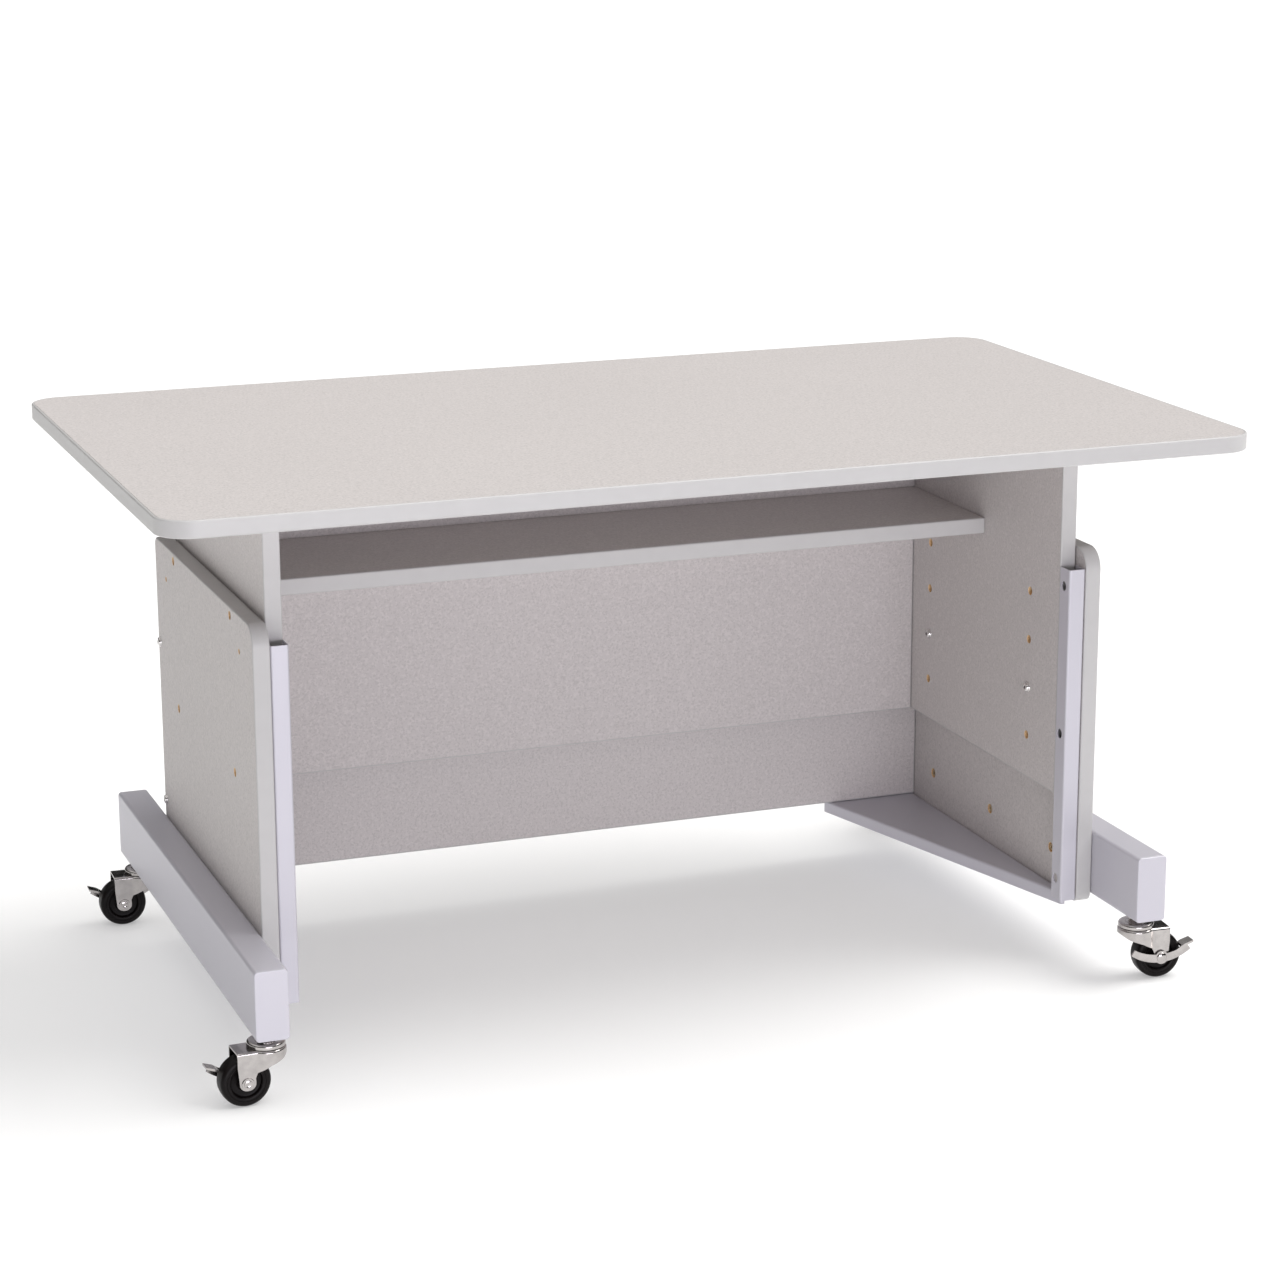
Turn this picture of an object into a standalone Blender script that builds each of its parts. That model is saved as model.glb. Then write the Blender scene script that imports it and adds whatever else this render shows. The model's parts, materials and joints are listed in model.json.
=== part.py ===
"""Height-adjustable desk on braked casters, as separate parts in metres with +Z up.

The knee side faces -Y. The origin is on the floor under the middle of the desktop. The upper
assembly (desktop, upper panels and shelf) slides up and down between two lower side panels, and
bolts through rows of holes hold it.
"""

import math

import bmesh
import bpy

# Overall size
DESK_WIDTH = 1.2192
DESK_DEPTH = 0.7112
DESK_HEIGHT = 0.635
BOARD = 0.0187
GAP = 0.0003
DESKTOP_CORNER_RADIUS = 0.038
EDGE_BAND = 0.003

# Upper assembly: side panels, back panel and shelf
UPPER_OUTER_X = 0.4711
UPPER_INNER_X = UPPER_OUTER_X - BOARD
UPPER_FRONT_Y = -0.2000
UPPER_REAR_Y = 0.2062
UPPER_BOTTOM_Z = 0.1970
UPPER_TOP_Z = DESK_HEIGHT - BOARD - GAP
SHELF_FRONT_Y = -0.0070
SHELF_TOP_Z = 0.4824

# Lower assembly: side panels, back panel, channels, gussets and feet
LOWER_INNER_X = 0.4723
LOWER_OUTER_X = LOWER_INNER_X + BOARD
LOWER_FRONT_Y = -0.2240
LOWER_REAR_Y = 0.2340
LOWER_BOTTOM_Z = 0.0690
LOWER_TOP_Z = 0.4880
LOWER_TOP_FRONT_RADIUS = 0.024
LOWER_SMALL_RADIUS = 0.010
LOWER_BACK_BOTTOM_Z = 0.0750
CHANNEL_INNER_X = 0.4520
CHANNEL_FRONT_Y = -0.2230
CHANNEL_BOTTOM_Z = 0.0730
CHANNEL_TOP_Z = 0.4660
SHEET = 0.0016
GUSSET_WIDTH = 0.1230
GUSSET_FRONT_Y = -0.1990
GUSSET_TIP = 0.0060
GUSSET_FLANGE = 0.0145
FOOT_LENGTH = 0.6660
FOOT_WIDTH = 0.0360
FOOT_HEIGHT = 0.0767
FOOT_BOTTOM_Z = 0.0773
FOOT_WALL = 0.0025
FOOT_CORNER_RADIUS = 0.0040
FOOT_CAP = 0.0030

# Fasteners
HOLE_PITCH = 0.0576
BOLT_Z = 0.3055
HEIGHT_HOLE_STEPS = (-1, 0, 1, 2)
LOWER_HOLE_STEPS = (0, 3)
HEIGHT_HOLE_Y = {"front": -0.1270, "rear": 0.1397}
HEIGHT_HOLE_RADIUS = 0.0042
CHANNEL_SCREW_Y = -0.2095
CHANNEL_SCREW_Z = (0.0980, 0.2717, 0.4454)
ACCESS_HOLE_RADIUS = 0.0055
FOOT_BOLT_Y = (-0.1580, 0.0015, 0.1610)
FOOT_BOLT_Z = 0.1170
FOOT_BOLT_SINK = 0.0035
FOOT_BOLT_HEAD_RADIUS = 0.0055
BOLT_RADIUS = 0.0030
BOLT_HOLE_RADIUS = BOLT_RADIUS + GAP
BACK_BOLT_REACH = 0.0300
CHANNEL_SCREW_RADIUS = 0.0018
CHANNEL_SCREW_LENGTH = 0.0130
BACK_BOLT_Z = {"lower": 0.1730, "upper": 0.3640}

# Casters, in their own frame: the stem stands at x = 0 and the wheel trails towards +X
STEM_X = 0.5093
STEM_Y = 0.3000
STEM_RADIUS = 0.0050
SWIVEL_CUP_RADIUS = 0.0205
SWIVEL_COLLAR_RADIUS = 0.0095
WHEEL_RADIUS = 0.0275
WHEEL_HALF_WIDTH = 0.0110
CASTER_TRAIL = 0.0250
FORK_TOP_Z = 0.0620
FORK_HALF_WIDTH = 0.0160
FORK_HEAD_RADIUS = 0.0215
FORK_REAR_X = 0.0355
FORK_SHEET = 0.0020
AXLE_RADIUS = 0.0040
LEVER_ARC_RADIUS = 0.0610
LEVER_HEIGHT = 0.0095
CASTER_ANGLES = {
    ("left", "front"): 183.0,
    ("left", "rear"): 178.0,
    ("right", "front"): -5.0,
    ("right", "rear"): 2.0,
}

SIDES = {"left": -1, "right": 1}
ROUND_SEGMENTS = 16
WHEEL_SEGMENTS = 32


def clear_scene():
    for obj in list(bpy.data.objects):
        bpy.data.objects.remove(obj, do_unlink=True)


def material(name, colour, roughness, metallic=0.0):
    made = bpy.data.materials.new(name)
    made.use_nodes = True
    shader = made.node_tree.nodes["Principled BSDF"]
    shader.inputs["Base Color"].default_value = (*colour, 1.0)
    shader.inputs["Roughness"].default_value = roughness
    shader.inputs["Metallic"].default_value = metallic
    return made


def rounded(corners, steps=6):
    """A closed outline through (u, v, radius) corners, each corner replaced by an arc."""
    points = []
    for index, (u, v, radius) in enumerate(corners):
        if not radius:
            points.append((u, v))
            continue
        before = corners[index - 1]
        after = corners[(index + 1) % len(corners)]
        away = [(before[0] - u, before[1] - v), (after[0] - u, after[1] - v)]
        away = [(a / math.hypot(a, b), b / math.hypot(a, b)) for a, b in away]
        half = math.acos(away[0][0] * away[1][0] + away[0][1] * away[1][1]) / 2
        middle = (away[0][0] + away[1][0], away[0][1] + away[1][1])
        reach = radius / math.sin(half) / math.hypot(*middle)
        centre = (u + middle[0] * reach, v + middle[1] * reach)
        ends = [(u + a * radius / math.tan(half), v + b * radius / math.tan(half)) for a, b in away]
        start, stop = (math.atan2(b - centre[1], a - centre[0]) for a, b in ends)
        sweep = (stop - start + math.pi) % (2 * math.pi) - math.pi
        for step in range(steps + 1):
            angle = start + sweep * step / steps
            points.append((centre[0] + radius * math.cos(angle), centre[1] + radius * math.sin(angle)))
    return points


def rectangle(low_u, low_v, high_u, high_v, radius=0.0):
    return rounded(
        [
            (low_u, low_v, radius),
            (high_u, low_v, radius),
            (high_u, high_v, radius),
            (low_u, high_v, radius),
        ]
    )


def circle(u, v, radius, segments=ROUND_SEGMENTS):
    turns = [2 * math.pi * step / segments for step in range(segments)]
    return [(u + radius * math.cos(turn), v + radius * math.sin(turn)) for turn in turns]


def add_prism(mesh, outline, axis, low, high):
    """Extrudes an outline along an axis. The outline lists the other two coordinates in order."""
    at = "xyz".index(axis)
    rings = []
    for level in (low, high):
        ring = []
        for point in outline:
            place = list(point)
            place.insert(at, level)
            ring.append(mesh.verts.new(place))
        rings.append(ring)
    mesh.faces.new(rings[0])
    mesh.faces.new(rings[1])
    count = len(outline)
    for index in range(count):
        after = (index + 1) % count
        mesh.faces.new((rings[0][index], rings[0][after], rings[1][after], rings[1][index]))


def add_turned(mesh, profile, axis, segments=ROUND_SEGMENTS, closed=False):
    """Turns (radius, height) points about an axis through the origin; radius 0 closes an end."""
    at = "xyz".index(axis)
    rings = []
    for radius, height in profile:
        ring = []
        for u, v in circle(0, 0, radius, segments) if radius else [(0, 0)]:
            place = [u, v]
            place.insert(at, height)
            ring.append(mesh.verts.new(place))
        rings.append(ring)
    pairs = list(zip(rings, rings[1:]))
    if closed:
        pairs.append((rings[-1], rings[0]))
    for first, second in pairs:
        for index in range(segments):
            after = (index + 1) % segments
            if len(first) == 1:
                mesh.faces.new((first[0], second[index], second[after]))
            elif len(second) == 1:
                mesh.faces.new((first[index], first[after], second[0]))
            else:
                mesh.faces.new((first[index], first[after], second[after], second[index]))


def add_object(name, mesh, look=None, location=(0, 0, 0), parent=None, smooth=False):
    bmesh.ops.recalc_face_normals(mesh, faces=mesh.faces)
    data = bpy.data.meshes.new(name)
    mesh.to_mesh(data)
    mesh.free()
    if look:
        data.materials.append(look)
    if smooth:
        data.shade_smooth()
        data.set_sharp_from_angle(angle=math.radians(35))
    made = bpy.data.objects.new(name, data)
    made.location = location
    made.parent = parent
    bpy.context.scene.collection.objects.link(made)
    return made


def prism(name, outline, axis, low, high, look, **options):
    mesh = bmesh.new()
    add_prism(mesh, outline, axis, low, high)
    return add_object(name, mesh, look, **options)


def turned(name, profile, axis, look, segments=ROUND_SEGMENTS, closed=False, **options):
    mesh = bmesh.new()
    add_turned(mesh, profile, axis, segments, closed)
    return add_object(name, mesh, look, smooth=True, **options)


def cut(target, name, shapes, operation="DIFFERENCE"):
    """Cuts target with prisms, each given as (outline, axis, low, high), in target's own frame."""
    mesh = bmesh.new()
    for outline, axis, low, high in shapes:
        add_prism(mesh, outline, axis, low, high)
    cutter = add_object(name, mesh, location=target.location, parent=target.parent)
    cutter.hide_render = True
    cutter.display_type = "WIRE"
    modifier = target.modifiers.new(name, "BOOLEAN")
    modifier.operation = operation
    modifier.solver = "EXACT"
    modifier.object = cutter


def soften(target, width):
    modifier = target.modifiers.new("soft_edges", "BEVEL")
    modifier.width = width
    modifier.segments = 1
    modifier.limit_method = "ANGLE"
    modifier.angle_limit = math.radians(50)


def across(side, near, far):
    """The low and high x of a span that lies near to far from the middle, on one side."""
    return sorted((side * near, side * far))


def make_desktop(laminate, band):
    half_x = DESK_WIDTH / 2
    half_y = DESK_DEPTH / 2
    low = DESK_HEIGHT - BOARD

    def outline(inset):
        radius = DESKTOP_CORNER_RADIUS - inset
        return rectangle(inset - half_x, inset - half_y, half_x - inset, half_y - inset, radius)

    prism("desktop", outline(EDGE_BAND + GAP), "z", low, DESK_HEIGHT, laminate)
    edge = prism("desktop_edge_band", outline(0), "z", low, DESK_HEIGHT, band)
    cut(edge, "desktop_band_cutter", [(outline(EDGE_BAND), "z", low - BOARD, DESK_HEIGHT + BOARD)])
    soften(edge, 0.0012)


def height_holes(steps, low, high):
    holes = []
    for y in HEIGHT_HOLE_Y.values():
        for step in steps:
            z = BOLT_Z + step * HOLE_PITCH
            holes.append((circle(y, z, HEIGHT_HOLE_RADIUS, 12), "x", low, high))
    return holes


def make_upper_side_panel(side_name, laminate):
    side = SIDES[side_name]
    low, high = across(side, UPPER_INNER_X, UPPER_OUTER_X)
    outline = rectangle(UPPER_FRONT_Y, UPPER_BOTTOM_Z, UPPER_REAR_Y, UPPER_TOP_Z)
    panel = prism(f"upper_side_panel_{side_name}", outline, "x", low, high, laminate)
    holes = height_holes(HEIGHT_HOLE_STEPS, low - BOARD, high + BOARD)
    cut(panel, f"upper_holes_{side_name}", holes)


def make_upper_back_panel(laminate):
    half = UPPER_INNER_X - GAP
    outline = rectangle(-half, UPPER_BOTTOM_Z, half, UPPER_TOP_Z)
    prism("upper_back_panel", outline, "y", UPPER_REAR_Y - BOARD, UPPER_REAR_Y, laminate)


def make_shelf(laminate):
    half = UPPER_INNER_X - GAP
    outline = rectangle(-half, SHELF_FRONT_Y, half, UPPER_REAR_Y - BOARD - GAP)
    prism("shelf", outline, "z", SHELF_TOP_Z - BOARD, SHELF_TOP_Z, laminate)


def make_lower_side_panel(side_name, laminate):
    side = SIDES[side_name]
    low, high = across(side, LOWER_INNER_X, LOWER_OUTER_X)
    outline = rounded(
        [
            (LOWER_FRONT_Y, LOWER_BOTTOM_Z, LOWER_SMALL_RADIUS),
            (LOWER_REAR_Y, LOWER_BOTTOM_Z, LOWER_SMALL_RADIUS),
            (LOWER_REAR_Y, LOWER_TOP_Z, LOWER_SMALL_RADIUS),
            (LOWER_FRONT_Y, LOWER_TOP_Z, LOWER_TOP_FRONT_RADIUS),
        ]
    )
    panel = prism(f"lower_side_panel_{side_name}", outline, "x", low, high, laminate)
    through = (low - BOARD, high + BOARD)
    holes = height_holes(LOWER_HOLE_STEPS, *through)
    sinks = []
    sink = across(side, LOWER_INNER_X - BOARD, LOWER_INNER_X + FOOT_BOLT_SINK)
    for y in FOOT_BOLT_Y:
        holes.append((circle(y, FOOT_BOLT_Z, BOLT_HOLE_RADIUS, 12), "x", *through))
        sinks.append((circle(y, FOOT_BOLT_Z, FOOT_BOLT_HEAD_RADIUS + 2 * GAP, 12), "x", *sink))
    for z in BACK_BOLT_Z.values():
        holes.append((circle(back_bolt_y(), z, BOLT_HOLE_RADIUS, 12), "x", *through))
    blind = across(side, LOWER_INNER_X - BOARD, LOWER_INNER_X + CHANNEL_SCREW_LENGTH)
    for z in CHANNEL_SCREW_Z:
        holes.append((circle(CHANNEL_SCREW_Y, z, CHANNEL_SCREW_RADIUS + GAP, 12), "x", *blind))
    cut(panel, f"lower_holes_{side_name}", holes)
    cut(panel, f"lower_sinks_{side_name}", sinks)


def back_bolt_y():
    return LOWER_REAR_Y - BOARD / 2


def make_lower_back_panel(laminate):
    half = LOWER_INNER_X - GAP
    outline = rectangle(-half, LOWER_BACK_BOTTOM_Z, half, LOWER_TOP_Z)
    panel = prism("lower_back_panel", outline, "y", LOWER_REAR_Y - BOARD, LOWER_REAR_Y, laminate)
    holes = []
    for side in SIDES.values():
        ends = across(side, half - BACK_BOLT_REACH - 0.002, half + BOARD)
        for z in BACK_BOLT_Z.values():
            holes.append((circle(back_bolt_y(), z, BOLT_HOLE_RADIUS, 12), "x", *ends))
    cut(panel, "back_bolt_holes", holes)


def make_guide_channel(side_name, steel):
    """A U-shaped channel, open to the rear, screwed to the lower side panel through its outer flange."""
    side = SIDES[side_name]
    rear_y = UPPER_FRONT_Y - 2 * GAP
    near = CHANNEL_INNER_X
    far = LOWER_INNER_X - GAP
    low, high = across(side, near, far)
    outline = rounded(
        [
            (low, CHANNEL_FRONT_Y, 0.0022),
            (high, CHANNEL_FRONT_Y, 0.0022),
            (high, rear_y, 0.0),
            (low, rear_y, 0.0),
        ],
        steps=3,
    )
    name = f"guide_channel_{side_name}"
    channel = prism(name, outline, "z", CHANNEL_BOTTOM_Z, CHANNEL_TOP_Z, steel)
    hollow = rectangle(low + SHEET, CHANNEL_FRONT_Y + SHEET, high - SHEET, rear_y + BOARD)
    cut(channel, f"channel_hollow_{side_name}", [(hollow, "z", 0.0, DESK_HEIGHT)])
    middle = (near + far) / 2
    holes = []
    for z in CHANNEL_SCREW_Z:
        access = across(side, near - BOARD, middle)
        holes.append((circle(CHANNEL_SCREW_Y, z, ACCESS_HOLE_RADIUS, 16), "x", *access))
        screw = across(side, middle, far + BOARD)
        holes.append((circle(CHANNEL_SCREW_Y, z, CHANNEL_SCREW_RADIUS + 2 * GAP, 12), "x", *screw))
    cut(channel, f"channel_holes_{side_name}", holes)


def make_gusset_plate(side_name, steel):
    """A triangular sheet-steel brace under the lower panels, with its edges turned down."""
    side = SIDES[side_name]
    far = LOWER_INNER_X - GAP
    near = far - GUSSET_WIDTH
    top = LOWER_BACK_BOTTOM_Z - GAP
    outline = rounded(
        [
            (side * far, LOWER_REAR_Y, 0.0),
            (side * near, LOWER_REAR_Y, 0.006),
            (side * (far - GUSSET_TIP), GUSSET_FRONT_Y, 0.0),
            (side * far, GUSSET_FRONT_Y, 0.0),
        ],
        steps=4,
    )
    plate = prism(f"gusset_plate_{side_name}", outline, "z", top - GUSSET_FLANGE, top, steel)
    slope = (LOWER_REAR_Y - GUSSET_FRONT_Y) / (GUSSET_WIDTH - GUSSET_TIP)
    shift = SHEET * math.hypot(1, slope) / slope
    rear = LOWER_REAR_Y - SHEET
    front = GUSSET_FRONT_Y + SHEET
    inside = [
        (side * (far - SHEET), rear),
        (side * (near + shift + SHEET / slope), rear),
        (side * (far - GUSSET_TIP + shift - SHEET / slope), front),
        (side * (far - SHEET), front),
    ]
    cut(plate, f"gusset_hollow_{side_name}", [(inside, "z", 0.0, top - SHEET)])


def foot_outline(side, inset=0.0):
    near = LOWER_OUTER_X + GAP + inset
    far = LOWER_OUTER_X + GAP + FOOT_WIDTH - inset
    low, high = across(side, near, far)
    top = FOOT_BOTTOM_Z + FOOT_HEIGHT - inset
    return rectangle(low, FOOT_BOTTOM_Z + inset, high, top, FOOT_CORNER_RADIUS - inset)


def make_foot(side_name, steel):
    """A closed rectangular steel tube that carries a lower side panel, with a cap at each end."""
    side = SIDES[side_name]
    end = FOOT_LENGTH / 2
    tube_end = end - FOOT_CAP - GAP
    tube = prism(f"foot_tube_{side_name}", foot_outline(side), "y", -tube_end, tube_end, steel)
    hollow = (foot_outline(side, FOOT_WALL), "y", -FOOT_LENGTH, FOOT_LENGTH)
    cut(tube, f"foot_hollow_{side_name}", [hollow])
    wall = across(side, LOWER_OUTER_X - BOARD, LOWER_OUTER_X + BOARD)
    holes = [(circle(y, FOOT_BOLT_Z, BOLT_HOLE_RADIUS, 12), "x", *wall) for y in FOOT_BOLT_Y]
    for stem_y in (-STEM_Y, STEM_Y):
        stem = circle(side * STEM_X, stem_y, STEM_RADIUS + GAP, 16)
        holes.append((stem, "z", FOOT_BOTTOM_Z - BOARD, FOOT_BOTTOM_Z + BOARD))
    cut(tube, f"foot_holes_{side_name}", holes)
    for end_name, sign in (("front", -1), ("rear", 1)):
        low, high = sorted((sign * (end - FOOT_CAP), sign * end))
        name = f"foot_end_cap_{side_name}_{end_name}"
        cap = prism(name, foot_outline(side), "y", low, high, steel)
        soften(cap, 0.0008)


def bolt_profile(head_radius, head, shank_radius, shank):
    """A bolt along +axis: its shank runs to +shank, and its domed head is at the negative side."""
    return [
        (0.0, -head),
        (head_radius * 0.6, -head),
        (head_radius, -head * 0.4),
        (head_radius, -GAP),
        (shank_radius, -GAP),
        (shank_radius, shank),
        (0.0, shank),
    ]


def make_bolt(name, at, side, profile, look):
    """A bolt whose shank points away from the middle of the desk if side is +1 on the right."""
    facing = [(radius, side * height) for radius, height in profile]
    turned(name, facing, "x", look, segments=12, location=at)


def make_fasteners(side_name, chrome, dark):
    side = SIDES[side_name]
    height_bolt = bolt_profile(0.0066, 0.0042, 0.0036, BOARD - 0.0005)
    for row, y in HEIGHT_HOLE_Y.items():
        at = (side * UPPER_INNER_X, y, BOLT_Z)
        make_bolt(f"height_bolt_{side_name}_{row}", at, side, height_bolt, chrome)
    foot_bolt = bolt_profile(FOOT_BOLT_HEAD_RADIUS, 0.0026, BOLT_RADIUS, BOARD + 0.0050)
    for index, y in enumerate(FOOT_BOLT_Y):
        at = (side * (LOWER_INNER_X + FOOT_BOLT_SINK), y, FOOT_BOLT_Z)
        make_bolt(f"foot_bolt_{side_name}_{index + 1}", at, side, foot_bolt, dark)
    back_bolt = bolt_profile(0.0060, 0.0032, BOLT_RADIUS, BOARD + BACK_BOLT_REACH)
    for place, z in BACK_BOLT_Z.items():
        at = (side * LOWER_OUTER_X, back_bolt_y(), z)
        make_bolt(f"back_bolt_{side_name}_{place}", at, -side, back_bolt, chrome)
    channel_screw = bolt_profile(0.0042, 0.0022, CHANNEL_SCREW_RADIUS, CHANNEL_SCREW_LENGTH)
    for index, z in enumerate(CHANNEL_SCREW_Z):
        at = (side * (LOWER_INNER_X - GAP - SHEET), CHANNEL_SCREW_Y, z)
        make_bolt(f"channel_screw_{side_name}_{index + 1}", at, side, channel_screw, dark)


def add_empty(name, location, turn=0.0, parent=None):
    made = bpy.data.objects.new(name, None)
    made.location = location
    made.rotation_euler = (0.0, 0.0, math.radians(turn))
    made.parent = parent
    bpy.context.scene.collection.objects.link(made)
    return made


def make_caster_stem(label, swivel, chrome):
    """The stem that is bolted into the foot, with the upper swivel cup and the rivet below the fork."""
    under = FORK_TOP_Z - FORK_SHEET
    profile = [
        (0.0, under - 0.0030),
        (0.0075, under - 0.0030),
        (0.0075, under - GAP),
        (STEM_RADIUS, under - GAP),
        (STEM_RADIUS, FORK_TOP_Z + GAP),
        (SWIVEL_CUP_RADIUS, FORK_TOP_Z + GAP),
        (SWIVEL_CUP_RADIUS, FORK_TOP_Z + 0.0035),
        (SWIVEL_CUP_RADIUS - 0.0035, FORK_TOP_Z + 0.0070),
        (SWIVEL_COLLAR_RADIUS, FORK_TOP_Z + 0.0085),
        (SWIVEL_COLLAR_RADIUS, FOOT_BOTTOM_Z - GAP),
        (STEM_RADIUS, FOOT_BOTTOM_Z - GAP),
        (STEM_RADIUS, FOOT_BOTTOM_Z + 0.0260),
        (0.0, FOOT_BOTTOM_Z + 0.0260),
    ]
    turned(f"caster_stem_{label}", profile, "z", chrome, parent=swivel)


def fork_plan(inset):
    """The fork seen from above: a round head about the stem, and straight sides towards the wheel."""
    half = FORK_HALF_WIDTH - inset
    head = FORK_HEAD_RADIUS - inset
    join = math.asin(half / head)
    points = [(FORK_REAR_X, half)]
    steps = 14
    for step in range(steps + 1):
        turn = join + 2 * (math.pi - join) * step / steps
        points.append((head * math.cos(turn), head * math.sin(turn)))
    return points + [(FORK_REAR_X, -half)]


def make_caster_fork(label, swivel, chrome):
    """A pressed steel fork: a top plate, two legs and a skirt that wraps round the front."""
    fork = prism(f"caster_fork_{label}", fork_plan(0), "z", 0.0, FORK_TOP_Z, chrome, parent=swivel)
    hollow = fork_plan(FORK_SHEET)
    open_end = [(FORK_REAR_X + BOARD, hollow[end][1]) for end in (-1, 0)]
    hollow += open_end
    cut(fork, f"fork_hollow_{label}", [(hollow, "z", -BOARD, FORK_TOP_Z - FORK_SHEET)])
    side_view = rounded(
        [
            (-FORK_HEAD_RADIUS - 0.002, FORK_TOP_Z - 0.005, 0.0),
            (-0.0140, 0.0508, 0.0),
            (0.0007, 0.0458, 0.0),
            (0.0150, 0.0370, 0.0),
            (CASTER_TRAIL - 0.0088, WHEEL_RADIUS - 0.0085, 0.0080),
            (CASTER_TRAIL + 0.0090, WHEEL_RADIUS - 0.0085, 0.0080),
            (FORK_REAR_X + 0.001, FORK_TOP_Z - 0.006, 0.0),
            (FORK_REAR_X + 0.001, FORK_TOP_Z + 0.001, 0.0),
            (-FORK_HEAD_RADIUS - 0.002, FORK_TOP_Z + 0.001, 0.0),
        ],
        steps=5,
    )
    profile = (side_view, "y", -2 * FORK_HEAD_RADIUS, 2 * FORK_HEAD_RADIUS)
    cut(fork, f"fork_profile_{label}", [profile], operation="INTERSECT")
    axle = circle(CASTER_TRAIL, WHEEL_RADIUS, AXLE_RADIUS + GAP, 16)
    holes = [
        (circle(0, 0, STEM_RADIUS + GAP, 16), "z", FORK_TOP_Z - BOARD, FORK_TOP_Z + BOARD),
        (axle, "y", -2 * FORK_HALF_WIDTH, 2 * FORK_HALF_WIDTH),
    ]
    cut(fork, f"fork_holes_{label}", holes)


def make_caster_axle(label, swivel, chrome):
    """The riveted axle. Its longer end also carries the brake lever."""
    right = FORK_HALF_WIDTH + FORK_SHEET + 3 * GAP
    left = FORK_HALF_WIDTH + GAP
    head_radius = 0.0062
    head = 0.0018
    profile = [
        (0.0, -right - head),
        (head_radius * 0.7, -right - head),
        (head_radius, -right - head * 0.4),
        (head_radius, -right),
        (AXLE_RADIUS, -right),
        (AXLE_RADIUS, left),
        (head_radius, left),
        (head_radius, left + head * 0.4),
        (head_radius * 0.7, left + head),
        (0.0, left + head),
    ]
    at = (CASTER_TRAIL, 0, WHEEL_RADIUS)
    turned(f"caster_axle_{label}", profile, "y", chrome, location=at, parent=swivel)


def make_caster_wheel(label, swivel, rubber):
    hub = FORK_HALF_WIDTH - FORK_SHEET - 2 * GAP
    rim = WHEEL_HALF_WIDTH
    half_profile = [
        (AXLE_RADIUS + GAP, hub),
        (0.0095, hub),
        (0.0110, rim - 0.0030),
        (0.0200, rim),
        (WHEEL_RADIUS - 0.0030, rim),
        (WHEEL_RADIUS, rim - 0.0045),
    ]
    mirrored = [(radius, -height) for radius, height in reversed(half_profile)]
    turned(
        f"caster_wheel_{label}",
        half_profile + mirrored,
        "y",
        rubber,
        segments=WHEEL_SEGMENTS,
        closed=True,
        location=(CASTER_TRAIL, 0, WHEEL_RADIUS),
        parent=swivel,
    )


def lever_outline():
    """The lever's arm beside the wheel, about the axle: a low arc that rises at both ends."""
    centre_x = -0.0030
    centre_z = LEVER_ARC_RADIUS - 0.0010
    first, last = math.radians(-32.0), math.radians(36.0)
    steps = 10
    points = []
    for half, turns in ((0.5, range(steps + 1)), (-0.5, range(steps, -1, -1))):
        radius = LEVER_ARC_RADIUS + half * LEVER_HEIGHT
        for step in turns:
            angle = first + (last - first) * step / steps
            points.append((centre_x + radius * math.sin(angle), centre_z - radius * math.cos(angle)))
    return points


def make_brake_lever(label, swivel, chrome):
    """A rocking side lever on the axle, with a foot tongue that reaches in behind the wheel."""
    outer = -FORK_HALF_WIDTH - FORK_SHEET - 2 * GAP
    inner = -FORK_HALF_WIDTH - GAP * 2
    at = (CASTER_TRAIL, 0, WHEEL_RADIUS)
    outline = lever_outline()
    name = f"brake_lever_{label}"
    lever = prism(name, outline, "y", outer, inner, chrome, location=at, parent=swivel)
    tongue = [
        (0.0200, 0.0050),
        (0.0290, 0.0115),
        (0.0385, 0.0150),
        (0.0385, 0.0172),
        (0.0285, 0.0140),
        (0.0180, 0.0075),
    ]
    reach = -FORK_HALF_WIDTH + 0.0120
    web = (tongue, "y", outer, inner)
    tab = [point for point in tongue if point[0] > 0.025]
    cut(lever, f"lever_web_{label}", [web], operation="UNION")
    cut(lever, f"lever_tongue_{label}", [(tab, "y", outer, reach)], operation="UNION")
    axle = (circle(0, 0, AXLE_RADIUS + GAP, 16), "y", outer - BOARD, inner + BOARD)
    cut(lever, f"lever_hole_{label}", [axle])


def make_caster(side_name, end_name, chrome, rubber):
    side = SIDES[side_name]
    sign = -1 if end_name == "front" else 1
    label = f"{side_name}_{end_name}"
    turn = CASTER_ANGLES[side_name, end_name]
    swivel = add_empty(f"caster_swivel_{label}", (side * STEM_X, sign * STEM_Y, 0), turn)
    make_caster_stem(label, swivel, chrome)
    make_caster_fork(label, swivel, chrome)
    make_caster_axle(label, swivel, chrome)
    make_caster_wheel(label, swivel, rubber)
    make_brake_lever(label, swivel, chrome)


def main():
    clear_scene()
    laminate = material("grey_laminate", (0.62, 0.58, 0.55), 0.5)
    band = material("edge_banding", (0.56, 0.56, 0.54), 0.45)
    steel = material("painted_steel", (0.62, 0.61, 0.68), 0.4)
    chrome = material("chrome", (0.80, 0.79, 0.78), 0.18, 1.0)
    dark = material("dark_screw", (0.16, 0.15, 0.15), 0.5, 1.0)
    rubber = material("black_wheel", (0.02, 0.018, 0.018), 0.45)
    make_desktop(laminate, band)
    make_upper_back_panel(laminate)
    make_shelf(laminate)
    make_lower_back_panel(laminate)
    for side_name in SIDES:
        make_upper_side_panel(side_name, laminate)
        make_lower_side_panel(side_name, laminate)
        make_guide_channel(side_name, steel)
        make_gusset_plate(side_name, steel)
        make_foot(side_name, steel)
        make_fasteners(side_name, chrome, dark)
        for end_name in ("front", "rear"):
            make_caster(side_name, end_name, chrome, rubber)


main()
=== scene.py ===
"""Looks of the height-adjustable desk: boards, steelwork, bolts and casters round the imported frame."""

import json
import math

import bmesh
import bpy
from mathutils import Matrix, Vector


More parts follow.
